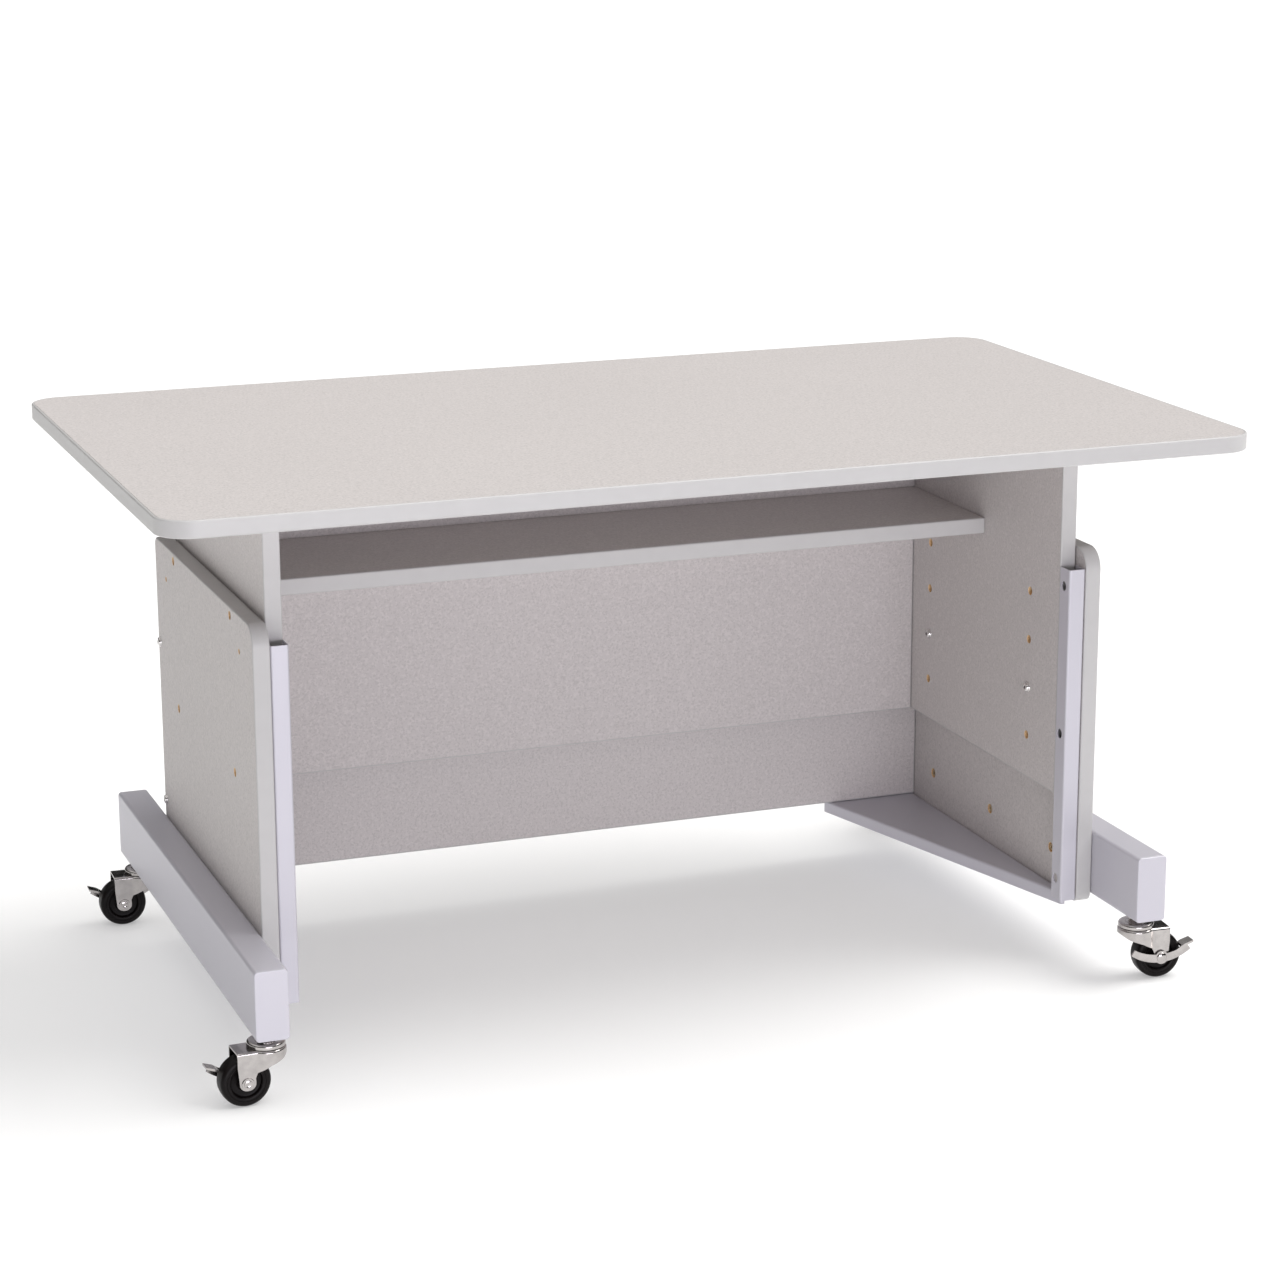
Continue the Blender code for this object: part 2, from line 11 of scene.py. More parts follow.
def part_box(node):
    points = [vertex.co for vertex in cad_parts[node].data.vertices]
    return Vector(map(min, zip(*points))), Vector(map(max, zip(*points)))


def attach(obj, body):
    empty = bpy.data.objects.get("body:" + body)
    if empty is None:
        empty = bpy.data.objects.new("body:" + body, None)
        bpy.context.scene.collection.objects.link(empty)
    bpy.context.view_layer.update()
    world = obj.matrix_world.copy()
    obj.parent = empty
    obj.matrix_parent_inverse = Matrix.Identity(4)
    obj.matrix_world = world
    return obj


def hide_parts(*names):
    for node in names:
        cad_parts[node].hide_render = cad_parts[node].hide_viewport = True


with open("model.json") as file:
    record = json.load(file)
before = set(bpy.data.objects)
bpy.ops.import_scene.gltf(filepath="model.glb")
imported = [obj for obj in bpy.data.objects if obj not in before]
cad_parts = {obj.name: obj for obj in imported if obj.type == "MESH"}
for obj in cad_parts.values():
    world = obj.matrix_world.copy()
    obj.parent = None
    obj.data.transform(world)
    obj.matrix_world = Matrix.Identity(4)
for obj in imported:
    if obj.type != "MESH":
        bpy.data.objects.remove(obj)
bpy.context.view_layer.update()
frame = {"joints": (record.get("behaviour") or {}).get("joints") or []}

# Boards, in metres
BAND_SEEN = 0.0014
BAND_EASE = 0.0018
SEAM = 0.00015
DESKTOP_BAND = 0.003
DESKTOP_RADIUS = 0.038
DESKTOP_EASE = 0.0020
PANEL_FRONT_RADIUS = 0.024
PANEL_RADIUS = 0.010
SHARP_RADIUS = 0.0008
HOLE_RADIUS = 0.0046
DOWEL_RADIUS = 0.0028
DOWEL_DEPTH = 0.004
DOWEL_DROP = 0.040
DOWEL_PLACES = (-0.1646, 0.1810)
FOOT_PIT_RADIUS = 0.0056
FOOT_PIT_DEPTH = 0.0035
HOLE_PITCH = 0.0576
UPPER_HOLE_STEPS = (-1, 1, 2)
LOWER_HOLE_STEP = 3
HOLE_CHAMFER = 0.0004
CORE_EASE = 0.0003

# Steelwork, in metres, and the steps in a bend
BEND_STEPS = 5
SHEET = 0.0016
SHEET_BEND = 0.0026
SHEET_EASE = 0.00035
CHANNEL_HOLE_RADIUS = 0.0055
FOOT_RADIUS = 0.0042
FOOT_WALL = 0.0025
FOOT_EASE = 0.0003
CAP_EASE = 0.0013
GUSSET_CORNER = 0.007
GUSSET_FRONT_WIDTH = 0.006
GUSSET_TIP_SHIFT = 0.0004

# Bolts: radius and height of the head, radius of the shank and of the hex socket, in metres
HEIGHT_BOLT = (0.0064, 0.0042, 0.0036, 0.0023)
FOOT_SCREW = (0.0048, 0.0026, 0.0030, 0.0020)
RAIL_SCREW = (0.0040, 0.0022, 0.0018, 0.0015)
BACK_BOLT = (0.0060, 0.0032, 0.0030, 0.0023)

# Casters, in metres and degrees, in their own frame: the stem at x = 0, the wheel towards +X
GAP = 0.0003
STEM_RADIUS = 0.0050
STEM_HOLE_RADIUS = 0.0053
RIVET_RADIUS = 0.0075
CUP_RADIUS = 0.0205
CUP_ROUND = 0.0030
CUP_HEIGHT = 0.0060
NUT_RADIUS = 0.0094
WASHER_RADIUS = 0.0090
FORK_SHEET = 0.0020
FORK_BEND = 0.0028
FORK_TOP_Z = 0.0620
FORK_HALF_WIDTH = 0.0160
FORK_HEAD_RADIUS = 0.0215
FORK_REAR_X = 0.0355
FORK_EASE = 0.0004
LEG_RADIUS = 0.0088
AXLE_RADIUS = 0.0040
AXLE_HOLE_RADIUS = 0.0043
AXLE_HEAD_RADIUS = 0.0058
AXLE_HEAD_GAP = 0.0009
AXLE_HEAD_HEIGHT = 0.0018
WHEEL_HALF_WIDTH = 0.0110
WHEEL_SHOULDER = 0.0047
WHEEL_CROWN = 0.0003
LEVER_ARC_RADIUS = 0.0610
LEVER_HEIGHT = 0.0095
LEVER_GAP = 0.0006
LEVER_BOSS_RADIUS = 0.0078
LEVER_EASE = 0.00045
LEVER_ENDS = (-32.0, 36.0)
PAD_REACH = 0.0120
CUT_PAST = 0.01
HOLLOW_PAST = 0.02
TINY = 0.00002

# Camera: lens in millimetres, place in metres, and yaw, pitch and roll in degrees
CAMERA_LENS = 93.22
CAMERA_SENSOR = 36.0
CAMERA_PLACE = (-1.2709, -3.4530, 1.3354)
CAMERA_TURNS = (20.476, 14.644, -0.1995)

# Light from above: it goes from low to high between these two sines of the angle over the horizon
SKY_LOW = (0.0, 0.0, 0.0)
SKY_HIGH = (1.16, 1.15, 1.14)
SKY_FADE = (0.35, 0.9)

# Each side's way along X
SIDES = {"left": -1, "right": 1}
ENDS = ("front", "rear")


# Shading


class Graph:
    """A material's node tree, with short calls that add a node and link its inputs."""

    def __init__(self, name):
        self.material = bpy.data.materials.new(name)
        self.material.use_nodes = True
        self.tree = self.material.node_tree
        self.shader = self.tree.nodes["Principled BSDF"]
        self.place = self.add("ShaderNodeTexCoord").outputs["Object"]

    def add(self, kind, inputs=(), **settings):
        node = self.tree.nodes.new(kind)
        for key, value in settings.items():
            setattr(node, key, value)
        for key, value in dict(inputs).items():
            if isinstance(value, bpy.types.NodeSocket):
                self.tree.links.new(value, node.inputs[key])
            else:
                node.inputs[key].default_value = value
        return node

    def noise(self, scale, detail=2.0, roughness=0.5, stretch=None):
        place = self.place
        if stretch:
            place = self.add("ShaderNodeMapping", {"Vector": place, "Scale": stretch}).outputs[0]
        inputs = {"Vector": place, "Scale": scale, "Detail": detail, "Roughness": roughness}
        return self.add("ShaderNodeTexNoise", inputs).outputs["Fac"]

    def ramp(self, value, stops):
        node = self.add("ShaderNodeValToRGB", {"Fac": value})
        elements = node.color_ramp.elements
        while len(elements) < len(stops):
            elements.new(0.5)
        for element, (position, colour) in zip(elements, stops):
            element.position = position
            element.color = (*colour, 1.0) if hasattr(colour, "__len__") else (colour,) * 3 + (1.0,)
        return node.outputs["Color"]

    def mix(self, amount, first, second):
        inputs = {0: amount, 6: first, 7: second}
        node = self.add("ShaderNodeMix", data_type="RGBA")
        for key, value in inputs.items():
            if isinstance(value, bpy.types.NodeSocket):
                self.tree.links.new(value, node.inputs[key])
            elif key == 0:
                node.inputs[key].default_value = value
            else:
                node.inputs[key].default_value = (*value, 1.0)
        return node.outputs[2]

    def spread(self, value, low, high):
        inputs = {"Value": value, "To Min": low, "To Max": high}
        return self.add("ShaderNodeMapRange", inputs).outputs[0]

    def set(self, **inputs):
        for key, value in inputs.items():
            socket = self.shader.inputs[key.replace("_", " ")]
            if isinstance(value, bpy.types.NodeSocket):
                self.tree.links.new(value, socket)
            else:
                socket.default_value = value

    def bump(self, height, strength, distance):
        inputs = {"Height": height, "Strength": strength, "Distance": distance}
        self.tree.links.new(self.add("ShaderNodeBump", inputs).outputs[0], self.shader.inputs["Normal"])


def shaded(colour, factor):
    return tuple(channel * factor for channel in colour)


def laminate_look(name, colour):
    """Matt melamine with fine pale and dark freckles."""
    graph = Graph(name)
    broad = graph.ramp(graph.noise(3.0), [(0.3, shaded(colour, 0.985)), (0.7, shaded(colour, 1.015))])
    flecks = graph.noise(260.0, 3.0, 0.62)
    pale = graph.ramp(flecks, [(0.50, 0.0), (0.60, 1.0)])
    dark = graph.ramp(graph.noise(380.0, 2.0, 0.6), [(0.38, 1.0), (0.47, 0.0)])
    base = graph.mix(graph.spread(pale, 0.0, 0.75), broad, shaded(colour, 1.12))
    base = graph.mix(graph.spread(dark, 0.0, 0.75), base, shaded(colour, 0.84))
    graph.set(Base_Color=base, Roughness=graph.spread(flecks, 0.44, 0.58), IOR=1.46)
    graph.bump(graph.noise(900.0, 3.0), 0.10, 0.0002)
    return graph.material


def banding_look():
    """Smooth satin plastic edge banding."""
    graph = Graph("edge_banding")
    tone = graph.noise(60.0, 3.0)
    colour = (0.515, 0.508, 0.505)
    base = graph.ramp(tone, [(0.3, shaded(colour, 0.985)), (0.7, shaded(colour, 1.015))])
    graph.set(Base_Color=base, Roughness=graph.spread(graph.noise(220.0), 0.36, 0.48), IOR=1.48)
    graph.bump(graph.noise(500.0, 2.0), 0.05, 0.0002)
    return graph.material


def chipboard_look():
    """The raw particle board seen inside drilled holes."""
    graph = Graph("particle_board")
    chips = graph.noise(900.0, 4.0, 0.7)
    stops = [(0.3, (0.52, 0.33, 0.17)), (0.5, (0.80, 0.56, 0.31)), (0.7, (0.93, 0.72, 0.45))]
    graph.set(Base_Color=graph.ramp(chips, stops), Roughness=0.85)
    graph.bump(chips, 0.5, 0.0005)
    return graph.material


def painted_steel_look():
    """Silver powder coat with a fine orange peel and faint metallic flake."""
    graph = Graph("painted_steel")
    colour = (0.560, 0.548, 0.600)
    flake = graph.noise(1500.0, 2.0, 0.7)
    broad = graph.noise(5.0)
    base = graph.ramp(broad, [(0.3, shaded(colour, 0.985)), (0.7, shaded(colour, 1.015))])
    base = graph.mix(graph.spread(flake, 0.0, 0.5), base, shaded(colour, 1.06))
    graph.set(Base_Color=base, Roughness=graph.spread(flake, 0.34, 0.46), Metallic=0.18, IOR=1.5)
    graph.bump(graph.noise(700.0, 2.0), 0.08, 0.0002)
    return graph.material


def plated_look(name, colour, low, high):
    """Bright plating over pressed steel, with drawn streaks and a few dull patches."""
    graph = Graph(name)
    streaks = graph.noise(500.0, 3.0, 0.6, stretch=(1.0, 1.0, 0.15))
    patches = graph.noise(110.0, 3.0)
    base = graph.ramp(patches, [(0.35, shaded(colour, 0.90)), (0.65, shaded(colour, 1.04))])
    stops = [(0.3, low), (0.7, high)]
    rough = graph.mix(0.5, graph.ramp(streaks, stops), graph.ramp(patches, stops))
    graph.set(Base_Color=base, Roughness=rough, Metallic=1.0)
    graph.bump(streaks, 0.06, 0.0001)
    return graph.material


def wheel_look():
    """Hard black plastic with a faint brown cast, a fine grain and patches of dust."""
    graph = Graph("black_wheel")
    grain = graph.noise(700.0, 3.0)
    dust = graph.ramp(graph.noise(160.0, 4.0, 0.6), [(0.45, 0.0), (0.75, 1.0)])
    base = graph.mix(graph.spread(dust, 0.0, 0.30), (0.0040, 0.0026, 0.0026), (0.016, 0.012, 0.0115))
    rough = graph.spread(grain, 0.34, 0.48)
    graph.set(Base_Color=base, Roughness=rough, IOR=1.5, Specular_IOR_Level=0.16)
    graph.bump(grain, 0.12, 0.0002)
    return graph.material


# Shapes


def link(name, mesh, looks, smooth=32):
    """An object of a bmesh, with its faces out and every edge sharper than smooth degrees kept sharp."""
    bmesh.ops.recalc_face_normals(mesh, faces=mesh.faces)
    data = bpy.data.meshes.new(name)
    mesh.to_mesh(data)
    mesh.free()
    for look in looks:
        data.materials.append(look)
    data.shade_smooth()
    data.set_sharp_from_angle(angle=math.radians(smooth))
    made = bpy.data.objects.new(name, data)
    bpy.context.scene.collection.objects.link(made)
    return made


def flatten_shading(piece):
    """Large flat faces keep their own normals next to small rounded edges."""
    weighted = piece.modifiers.new("weighted_normals", "WEIGHTED_NORMAL")
    weighted.keep_sharp = True


def ease(piece, width, segments=2, angle=40):
    bevel = piece.modifiers.new("eased_edges", "BEVEL")
    bevel.width = width
    bevel.segments = segments
    bevel.limit_method = "ANGLE"
    bevel.angle_limit = math.radians(angle)
    settle(piece)
    piece.data.shade_smooth()
    piece.data.set_sharp_from_angle(angle=math.radians(34))


def settle(piece):
    """Applies an object's modifiers to its mesh."""
    graph = bpy.context.evaluated_depsgraph_get()
    data = bpy.data.meshes.new_from_object(piece.evaluated_get(graph))
    piece.modifiers.clear()
    piece.data = data


def finish_piece(piece, body, node):
    """Flattens a piece's shading, hides the CAD node that it stands in for, and ties it to its body."""
    flatten_shading(piece)
    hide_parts(node)
    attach(piece, body)


def middle_of(node):
    low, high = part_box(node)
    return (low + high) / 2


def combine(piece, other, operation="DIFFERENCE"):
    modifier = piece.modifiers.new("combine", "BOOLEAN")
    modifier.operation = operation
    modifier.solver = "EXACT"
    modifier.object = other
    settle(piece)
    bpy.data.objects.remove(other, do_unlink=True)


def at(axis, u, v, w):
    """The point w along an axis and (u, v) in the other two, in order."""
    place = [u, v]
    place.insert("xyz".index(axis), w)
    return place


def circle(u, v, radius, segments=32):
    turns = [2 * math.pi * step / segments for step in range(segments)]
    return [(u + radius * math.cos(turn), v + radius * math.sin(turn)) for turn in turns]


def outline(corners, inset=0.0):
    """A convex outline through (u, v, radius) corners in order, moved in by inset, with arcs for corners."""
    points = []
    for index, (u, v, radius) in enumerate(corners):
        steps = 3 if radius < 0.002 else 14
        here = Vector((u, v))
        before = (Vector(corners[index - 1][:2]) - here).normalized()
        after = (Vector(corners[(index + 1) % len(corners)][:2]) - here).normalized()
        half = math.acos(before.dot(after)) / 2
        kept = max(radius - inset, TINY)
        centre = here + (before + after).normalized() * (inset + kept) / math.sin(half)
        sweep = math.pi - 2 * half
        turned = 1 if before.x * after.y - before.y * after.x < 0 else -1
        outwards = -(before + after)
        middle = math.atan2(outwards.y, outwards.x)
        for step in range(steps + 1):
            turn = middle + turned * sweep * (step / steps - 0.5)
            points.append((centre.x + kept * math.cos(turn), centre.y + kept * math.sin(turn)))
    return points


def rectangle(low, high, radii, inset=0.0):
    """An outline round a rectangle, moved in by inset; radii start at the lowest corner."""
    corners = [
        (low[0], low[1], radii[0]),
        (high[0], low[1], radii[1]),
        (high[0], high[1], radii[2]),
        (low[0], high[1], radii[3]),
    ]
    return outline(corners, inset)


def bridge(mesh, first, second, look=0):
    count = len(first)
    for index in range(count):
        after = (index + 1) % count
        face = mesh.faces.new((first[index], first[after], second[after], second[index]))
        face.material_index = look


def ring(mesh, axis, points, level):
    return [mesh.verts.new(at(axis, u, v, level)) for u, v in points]


def skin(mesh, rings, look=0):
    """Walls from each ring to the next."""
    for first, second in zip(rings, rings[1:]):
        bridge(mesh, first, second, look)


def closed_skin(mesh, rings):
    """Walls from each ring to the next, and a face over the first and the last."""
    skin(mesh, rings)
    mesh.faces.new(rings[0])
    mesh.faces.new(rings[-1])


def prism(axis, points, low, high):
    mesh = bmesh.new()
    closed_skin(mesh, [ring(mesh, axis, points, level) for level in (low, high)])
    return mesh


def quarter_turns(steps):
    return [math.pi / 2 * step / steps for step in range(steps + 1)]


def eased_profile(thickness, seen, radius, steps=5):
    """(inset, height) points round a board's edge: seam, flat, round, flat side, round, flat, seam."""
    half = [(seen + 2 * SEAM, 0.0), (seen + SEAM, SEAM), (seen, 0.0)]
    for turn in quarter_turns(steps):
        half.append((radius * (1 - math.sin(turn)), radius * (1 - math.cos(turn))))
    return half + [(inset, thickness - height) for inset, height in reversed(half)]


def cap(mesh, edge, holes, look):
    """Fills the face inside a ring of corners, round any rings that lie in it."""
    if not holes:
        mesh.faces.new(edge).material_index = look
        return
    edges = []
    for loop in [edge] + holes:
        for index, corner in enumerate(loop):
            after = loop[(index + 1) % len(loop)]
            edges.append(mesh.edges.get((corner, after)) or mesh.edges.new((corner, after)))
    filled = bmesh.ops.triangle_fill(mesh, edges=edges, use_beauty=True, use_dissolve=False)
    for item in filled["geom"]:
        if isinstance(item, bmesh.types.BMFace):
            item.material_index = look


def board(name, axis, node, body, radii, looks, holes=(), pits=()):
    """A banded board the size of a CAD node. holes are (u, v, radius) right through it; pits, given
    as (u, v, radius, face, depth) with face 0 for the low side and 1 for the high one, are blind.
    looks are for the faces, the banding and the walls of the holes."""
    lowest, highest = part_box(node)
    along = "xyz".index(axis)
    flat = [index for index in range(3) if index != along]
    low = (lowest[flat[0]], lowest[flat[1]])
    high = (highest[flat[0]], highest[flat[1]])
    start, stop = lowest[along], highest[along]
    mesh = bmesh.new()
    rings = []
    for inset, height in eased_profile(stop - start, BAND_SEEN, BAND_EASE):
        rings.append(ring(mesh, axis, rectangle(low, high, radii, inset), start + height))
    skin(mesh, rings, 1)
    mouths = ([], [])
    for u, v, size in holes:
        mouth = size + HOLE_CHAMFER
        stations = [(mouth, start), (size, start + HOLE_CHAMFER), (size, stop - HOLE_CHAMFER), (mouth, stop)]
        walls = [ring(mesh, axis, circle(u, v, wide, 24), level) for wide, level in stations]
        skin(mesh, walls, 2)
        mouths[0].append(walls[0])
        mouths[1].append(walls[-1])
    for u, v, size, face, depth in pits:
        surface = (start, stop)[face]
        inwards = (1, -1)[face]
        walls = []
        for wide, deep in [(size + HOLE_CHAMFER, 0.0), (size, HOLE_CHAMFER), (size, depth)]:
            walls.append(ring(mesh, axis, circle(u, v, wide, 20), surface + inwards * deep))
        skin(mesh, walls, 2)
        mesh.faces.new(walls[-1]).material_index = 2
        mouths[face].append(walls[0])
    cap(mesh, rings[0], mouths[0], 0)
    cap(mesh, rings[-1], mouths[1], 0)
    made = link(name, mesh, looks)
    finish_piece(made, body, node)


def hexagon(points):
    """Moves the points of a circle in to the hexagon that fits inside it."""
    side = math.pi / 3
    moved = []
    for u, v in points:
        turn = math.atan2(v, u) % side - side / 2
        moved.append((u / math.cos(turn) * math.cos(side / 2), v / math.cos(turn) * math.cos(side / 2)))
    return moved


def lathe(axis, stations, centre=(0.0, 0.0, 0.0), segments=48):
    """Turns (radius, height) stations about an axis, or (radius, height, "hex") for a hexagon.
    Radius 0 closes an end, and stations that start at another radius close on the first one."""
    mesh = bmesh.new()
    rings = []
    for radius, height, *shape in stations:
        if not radius:
            rings.append([mesh.verts.new(at(axis, 0.0, 0.0, height))])
            continue
        points = circle(0.0, 0.0, radius, segments)
        rings.append(ring(mesh, axis, hexagon(points) if shape else points, height))
    pairs = list(zip(rings, rings[1:]))
    if stations[0][0]:
        pairs.append((rings[-1], rings[0]))
    for first, second in pairs:
        if len(first) == 1 or len(second) == 1:
            tip, rim = (first[0], second) if len(first) == 1 else (second[0], first)
            for index in range(segments):
                mesh.faces.new((tip, rim[index], rim[(index + 1) % segments]))
        else:
            bridge(mesh, first, second)
    bmesh.ops.translate(mesh, verts=mesh.verts, vec=centre)
    return mesh


def dome(radius, low, high, steps=5):
    """Stations of a shallow dome that shrinks from radius at low, up to the one before its tip at high."""
    stations = []
    for turn in quarter_turns(steps)[:-1]:
        stations.append((radius * math.cos(turn), low + (high - low) * math.sin(turn)))
    return stations


# Upper and lower boards


def height_hole_places(side_name):
    """(y, z) of the two height bolts on a side: front, then rear."""
    places = []
    for end in ENDS:
        low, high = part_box(f"height_bolt_{side_name}_{end}")
        places.append(((low.y + high.y) / 2, (low.z + high.z) / 2))
    return places


def make_desktop(laminate, banding):
    """The desktop's core, and a separate band round it."""
    low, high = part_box("desktop_edge_band")
    inner = DESKTOP_BAND + SEAM
    core_low, core_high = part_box("desktop")
    radii = [DESKTOP_RADIUS] * 4
    mesh = bmesh.new()
    stations = [(inner + CORE_EASE, core_low.z), (inner, core_low.z + CORE_EASE)]
    stations += [(inner, core_high.z - CORE_EASE), (inner + CORE_EASE, core_high.z)]
    closed_skin(mesh, [ring(mesh, "z", rectangle(low.xy, high.xy, radii, inset), z) for inset, z in stations])
    core = link("desktop_board", mesh, [laminate])
    finish_piece(core, "upper", "desktop")

    mesh = bmesh.new()
    thickness = high.z - low.z
    profile = [(DESKTOP_BAND, CORE_EASE)]
    profile += eased_profile(thickness, DESKTOP_BAND - CORE_EASE - 2 * SEAM, DESKTOP_EASE, 6)[2:-2]
    profile += [(DESKTOP_BAND, thickness - CORE_EASE)]
    rings = []
    for inset, rise in profile:
        rings.append(ring(mesh, "z", rectangle(low.xy, high.xy, radii, inset), low.z + rise))
    skin(mesh, rings + rings[:1])
    band = link("desktop_banding", mesh, [banding])
    finish_piece(band, "upper", "desktop_edge_band")


def make_upper_boards(looks):
    square = [SHARP_RADIUS] * 4
    for side_name in SIDES:
        holes = []
        for y, z in height_hole_places(side_name):
            holes.append((y, z, HOLE_RADIUS))
            for step in UPPER_HOLE_STEPS:
                holes.append((y, z + step * HOLE_PITCH, HOLE_RADIUS))
        node = f"upper_side_panel_{side_name}"
        board(f"upper_side_board_{side_name}", "x", node, "upper", square, looks, holes)
    board("upper_back_board", "y", "upper_back_panel", "upper", square, looks)
    board("shelf_board", "z", "shelf", "upper", square, looks)


def make_lower_boards(looks):
    square = [SHARP_RADIUS] * 4
    for side_name, side in SIDES.items():
        holes = []
        for y, z in height_hole_places(side_name):
            holes.append((y, z, HOLE_RADIUS))
            holes.append((y, z + LOWER_HOLE_STEP * HOLE_PITCH, HOLE_RADIUS))
        outer_face = 1 if side > 0 else 0
        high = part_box(f"lower_side_panel_{side_name}")[1]
        pits = [(y, high.z - DOWEL_DROP, DOWEL_RADIUS, outer_face, DOWEL_DEPTH) for y in DOWEL_PLACES]
        for index in (1, 2, 3):
            y, z = middle_of(f"foot_bolt_{side_name}_{index}").yz
            pits.append((y, z, FOOT_PIT_RADIUS, 1 - outer_face, FOOT_PIT_DEPTH))
        radii = [PANEL_RADIUS, PANEL_RADIUS, PANEL_RADIUS, PANEL_FRONT_RADIUS]
        node = f"lower_side_panel_{side_name}"
        board(f"lower_side_board_{side_name}", "x", node, "base", radii, looks, holes, pits)
    board("lower_back_board", "y", "lower_back_panel", "base", square, looks)


# Steelwork


def make_channel(side_name, steel):
    """A rolled U-section with bent corners and round access holes in its inner flange. Each outline's
    first and last four points, the corners at the open side, give way to plain ones."""
    node = f"guide_channel_{side_name}"
    side = SIDES[side_name]
    low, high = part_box(node)
    corners = [(low.x, high.y, 0.0), (low.x, low.y, SHEET_BEND)]
    corners += [(high.x, low.y, SHEET_BEND), (high.x, high.y, 0.0)]
    outer = [(low.x, high.y)] + outline(corners)[4:-4] + [(high.x, high.y)]
    inner = [(low.x + SHEET, high.y)] + outline(corners, SHEET)[4:-4] + [(high.x - SHEET, high.y)]
    made = link(f"guide_channel_steel_{side_name}", prism("z", outer + inner[::-1], low.z, high.z), [steel])
    middle = (low.x + high.x) / 2
    near = low.x if side > 0 else high.x
    for index in (1, 2, 3):
        y, z = middle_of(f"channel_screw_{side_name}_{index}").yz
        span = sorted((middle, near - side * 3 * SHEET))
        hole = prism("x", circle(y, z, CHANNEL_HOLE_RADIUS), *span)
        combine(made, link("cutter", hole, [steel]))
    ease(made, SHEET_EASE)
    finish_piece(made, "base", node)


def make_gusset(side_name, steel):
    """A triangular sheet plate with its edges rolled down."""
    node = f"gusset_plate_{side_name}"
    side = SIDES[side_name]
    low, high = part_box(node)
    far, near = (high.x, low.x) if side > 0 else (low.x, high.x)
    tip = near - side * GUSSET_TIP_SHIFT
    corners = [
        (far, high.y, SHEET_BEND),
        (tip, high.y, GUSSET_CORNER),
        (far - side * GUSSET_FRONT_WIDTH, low.y, SHEET_BEND),
        (far, low.y, SHEET_BEND),
    ]
    outside = [(0.0, low.z)]
    inside = [(SHEET, low.z)]
    bend = SHEET_BEND - SHEET
    for turn in quarter_turns(BEND_STEPS):
        across, up = 1 - math.cos(turn), 1 - math.sin(turn)
        outside.append((SHEET_BEND * across, high.z - SHEET_BEND * up))
        inside.append((SHEET + bend * across, high.z - SHEET - bend * up))
    mesh = bmesh.new()
    stations = outside[::-1] + inside
    closed_skin(mesh, [ring(mesh, "z", outline(corners, inset), level) for inset, level in stations])
    made = link(f"gusset_steel_{side_name}", mesh, [steel])
    finish_piece(made, "base", node)


def make_foot(side_name, steel):
    """A rectangular steel tube, open inside, with a flush cap over each end."""
    node = f"foot_tube_{side_name}"
    low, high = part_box(node)
    flat_low, flat_high = (low.x, low.z), (high.x, high.z)
    mesh = bmesh.new()
    insets = [(FOOT_EASE, low.y), (0.0, low.y + FOOT_EASE), (0.0, high.y - FOOT_EASE), (FOOT_EASE, high.y)]
    insets += [(FOOT_WALL, high.y), (FOOT_WALL, low.y)]
    radii = [FOOT_RADIUS] * 4
    rings = [ring(mesh, "y", rectangle(flat_low, flat_high, radii, inset), y) for inset, y in insets]
    skin(mesh, rings + rings[:1])
    tube = link(f"foot_steel_{side_name}", mesh, [steel])
    finish_piece(tube, "base", node)
    for end in ENDS:
        cap_node = f"foot_end_cap_{side_name}_{end}"
        cap_low, cap_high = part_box(cap_node)
        outer_y, tube_y = (cap_low.y, low.y) if end == "front" else (cap_high.y, high.y)
        away = math.copysign(1.0, outer_y)
        stations = [(FOOT_WALL, tube_y - away * FOOT_EASE), (FOOT_EASE / 2, tube_y)]
        stations.append((0.0, tube_y + away * FOOT_EASE))
        for turn in quarter_turns(BEND_STEPS):
            face_y = outer_y - away * CAP_EASE * (1 - math.sin(turn))
            stations.append((CAP_EASE * (1 - math.cos(turn)), face_y))
        mesh = bmesh.new()
        rings = [ring(mesh, "y", rectangle(flat_low, flat_high, radii, inset), y) for inset, y in stations]
        closed_skin(mesh, rings)
        plate = link(f"foot_cap_{side_name}_{end}", mesh, [steel])
        finish_piece(plate, "base", cap_node)


# Fasteners


def bolt_stations(radius, head, shank, socket, length):
    """A domed head with a rim and a hex socket above zero, and a chamfered shank below it."""
    rim = head * 0.30
    crown = radius * 0.86
    floor = head - head * 0.72
    edge, ledge, lip, chamfer = 0.0003, 0.0007, 0.0002, 0.0005
    stations = [(0.0, floor), (socket * 0.98, floor, "hex")]
    stations += [(socket, head - edge, "hex"), (socket + edge, head)]
    for turn in quarter_turns(6):
        across = socket + ledge + (crown - socket - ledge) * math.sin(turn)
        stations.append((across, rim + (head - rim) * math.cos(turn)))
    for turn in quarter_turns(4):
        stations.append((crown + lip + (radius - crown - lip) * math.sin(turn), rim * math.cos(turn)))
    stations += [(radius - edge, 0.0), (shank, 0.0), (shank, chamfer - length)]
    return stations + [(shank - chamfer, -length), (0.0, -length)]


def make_bolt(name, node, body, look, sizes, sign):
    """A bolt of the given head and shank sizes; sign is the way that its head points along X."""
    low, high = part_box(node)
    middle = (low + high) / 2
    head = sizes[1]
    seat = (high.x if sign > 0 else low.x) - sign * head
    length = (high.x - low.x) - head
    stations = [(wide, sign * rise, *shape) for wide, rise, *shape in bolt_stations(*sizes, length)]
    made = link(name, lathe("x", stations, (seat, middle.y, middle.z), 36), [look])
    finish_piece(made, body, node)


